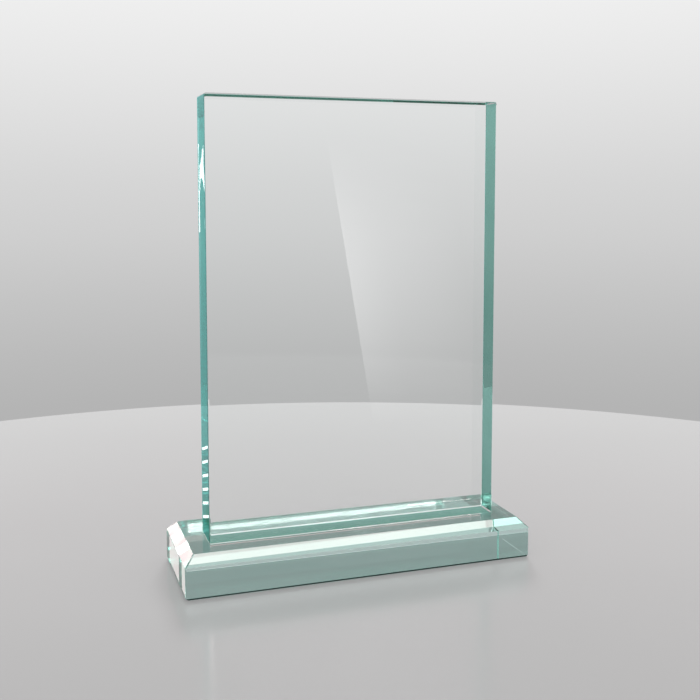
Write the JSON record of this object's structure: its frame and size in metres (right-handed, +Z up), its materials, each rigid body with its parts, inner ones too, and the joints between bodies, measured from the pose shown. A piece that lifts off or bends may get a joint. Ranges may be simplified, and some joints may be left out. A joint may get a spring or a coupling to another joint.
{
  "type": "crystal award",
  "caption": "Upright rectangular clear glass panel with green edges, bonded on edge to a bevelled glass block base.",
  "frame": {"origin": "middle of the underside of the base, on the surface the award stands on", "axes": "+X along the length of the base, -Y towards whoever reads the panel, +Z up"},
  "size_m": [0.165, 0.0544, 0.2172],
  "materials": {
    "panel_glass": "polished float glass, clear through its faces and green through its edges",
    "base_glass": "polished float glass with polished bevels",
    "adhesive": "clear cured adhesive"
  },
  "bodies": {
    "root": {"base": "base_glass", "bond_film": "adhesive", "panel": "panel_glass"}
  },
  "joints": []
}
